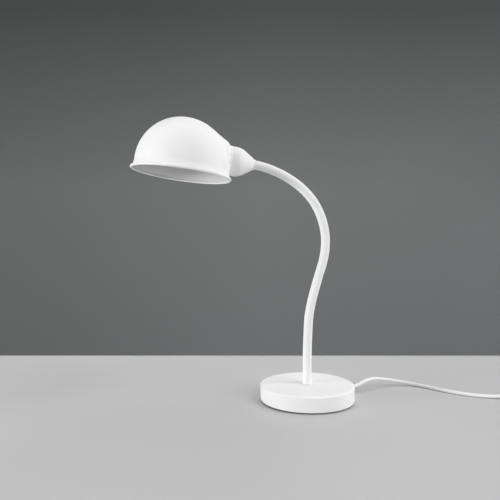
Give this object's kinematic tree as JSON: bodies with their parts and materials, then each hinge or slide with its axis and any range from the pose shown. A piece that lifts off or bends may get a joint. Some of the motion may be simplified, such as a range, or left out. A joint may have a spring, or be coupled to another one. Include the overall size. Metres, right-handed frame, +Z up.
{
  "type": "gooseneck desk lamp",
  "caption": "Desk lamp with a round weighted base, a flexible gooseneck that holds any bend, a dome shade with a rolled rim on a screw lamp holder, and a mains cord with a rocker switch",
  "frame": {"origin": "centre of the foam pad's underside, on the table and on the base's axis", "axes": "+Z up along the base's axis; the neck bends in the XZ plane and the shade hangs on the -X side; the cord leaves the base 15 degrees from +X towards +Y"},
  "size_m": [0.6603, 0.2541, 0.4126],
  "materials": {
    "white_paint": "satin",
    "neck_sleeve": "matte",
    "hose_steel": "satin",
    "cast_iron": "matte",
    "zinc_steel": "satin",
    "brass": "satin",
    "nickel_brass": "polished",
    "white_plastic": "satin",
    "steatite": "matte",
    "soft_pvc": "matte",
    "cord_pvc": "satin",
    "tie_band": "matte",
    "foam_pad": "matte"
  },
  "bodies": {
    "root": {"base_shell": "white_paint", "base_weight": "cast_iron", "base_plate": "zinc_steel", "base_pad": "foam_pad", "plate_screws": "zinc_steel", "foot_ferrule": "zinc_steel", "ferrule_washer": "zinc_steel", "ferrule_nut": "brass", "cord_bushing": "soft_pvc", "inner_lead": "cord_pvc", "cord_clamp": "white_plastic", "clamp_screws": "zinc_steel", "hose_00": "hose_steel", "sleeve_00": "neck_sleeve", "cord_lead": "cord_pvc", "cord_link": "cord_pvc", "cord_tail": "cord_pvc", "cord_coil": "cord_pvc", "coil_tie": "tie_band", "switch_lower": "white_plastic", "switch_upper": "white_plastic", "switch_screws": "zinc_steel", "plug_body": "soft_pvc", "plug_pins": "nickel_brass"},
    "link_01": {"hose_01": "hose_steel", "sleeve_01": "neck_sleeve"},
    "link_02": {"hose_02": "hose_steel", "sleeve_02": "neck_sleeve"},
    "link_03": {"hose_03": "hose_steel", "sleeve_03": "neck_sleeve"},
    "link_04": {"hose_04": "hose_steel", "sleeve_04": "neck_sleeve"},
    "link_05": {"hose_05": "hose_steel", "sleeve_05": "neck_sleeve"},
    "link_06": {"hose_06": "hose_steel", "sleeve_06": "neck_sleeve"},
    "link_07": {"hose_07": "hose_steel", "sleeve_07": "neck_sleeve"},
    "link_08": {"hose_08": "hose_steel", "sleeve_08": "neck_sleeve"},
    "link_09": {"hose_09": "hose_steel", "sleeve_09": "neck_sleeve"},
    "link_10": {"hose_10": "hose_steel", "sleeve_10": "neck_sleeve"},
    "link_11": {"hose_11": "hose_steel", "sleeve_11": "neck_sleeve"},
    "head": {"hose_12": "hose_steel", "sleeve_12": "neck_sleeve", "head_ferrule": "zinc_steel", "lamp_cup": "white_paint", "holder_cap": "white_plastic", "holder_body": "white_plastic", "holder_insert": "steatite", "screw_shell": "nickel_brass", "centre_contact": "nickel_brass", "shade_ring": "white_plastic", "shade": "white_paint"},
    "rocker": {"rocker": "white_plastic"}
  },
  "joints": [
    {"name": "neck_01_bend", "type": "hinge", "parent": "root", "child": "link_01", "pos_m": [0, 0, 0.05225], "axis": [0, -1, 0], "range_deg": [-23, 25]},
    {"name": "neck_02_side", "type": "hinge", "parent": "link_01", "child": "link_02", "pos_m": [0.00053, 0, 0.08249], "axis": [0.9994, 0, -0.0349], "range_deg": [-20, 20]},
    {"name": "neck_03_bend", "type": "hinge", "parent": "link_02", "child": "link_03", "pos_m": [0.00185, 0, 0.11271], "axis": [0, 1, 0], "range_deg": [-29.5, 18.5]},
    {"name": "neck_04_bend", "type": "hinge", "parent": "link_03", "child": "link_04", "pos_m": [0.00605, 0, 0.14263], "axis": [0, -1, 0], "range_deg": [-17, 30]},
    {"name": "neck_05_bend", "type": "hinge", "parent": "link_04", "child": "link_05", "pos_m": [0.01388, 0, 0.17185], "axis": [0, -1, 0], "range_deg": [-21.5, 26.5]},
    {"name": "neck_06_side", "type": "hinge", "parent": "link_05", "child": "link_06", "pos_m": [0.02298, 0, 0.2007], "axis": [-0.9511, 0, 0.309], "range_deg": [-20, 20]},
    {"name": "neck_07_bend", "type": "hinge", "parent": "link_06", "child": "link_07", "pos_m": [0.02873, 0, 0.23032], "axis": [0, -1, 0], "range_deg": [-30, 8.5]},
    {"name": "neck_08_bend", "type": "hinge", "parent": "link_07", "child": "link_08", "pos_m": [0.02637, 0, 0.26036], "axis": [0, -1, 0], "range_deg": [-30, 7.5]},
    {"name": "neck_09_bend", "type": "hinge", "parent": "link_08", "child": "link_09", "pos_m": [0.01556, 0, 0.28851], "axis": [0, 1, 0], "range_deg": [-7, 30]},
    {"name": "neck_10_bend", "type": "hinge", "parent": "link_09", "child": "link_10", "pos_m": [-0.00298, 0, 0.31225], "axis": [0, -1, 0], "range_deg": [-30, 8.5]},
    {"name": "neck_11_side", "type": "hinge", "parent": "link_10", "child": "link_11", "pos_m": [-0.02725, 0, 0.33021], "axis": [0.5, 0, 0.866], "range_deg": [-20, 20]},
    {"name": "neck_12_bend", "type": "hinge", "parent": "link_11", "child": "head", "pos_m": [-0.05463, 0, 0.34297], "axis": [0, 1, 0], "range_deg": [-12.5, 30]},
    {"name": "switch_rocker", "type": "hinge", "parent": "root", "child": "rocker", "pos_m": [0.342, -0.061, 0.012], "axis": [0, 1, 0], "range_deg": [0, 14]}
  ]
}
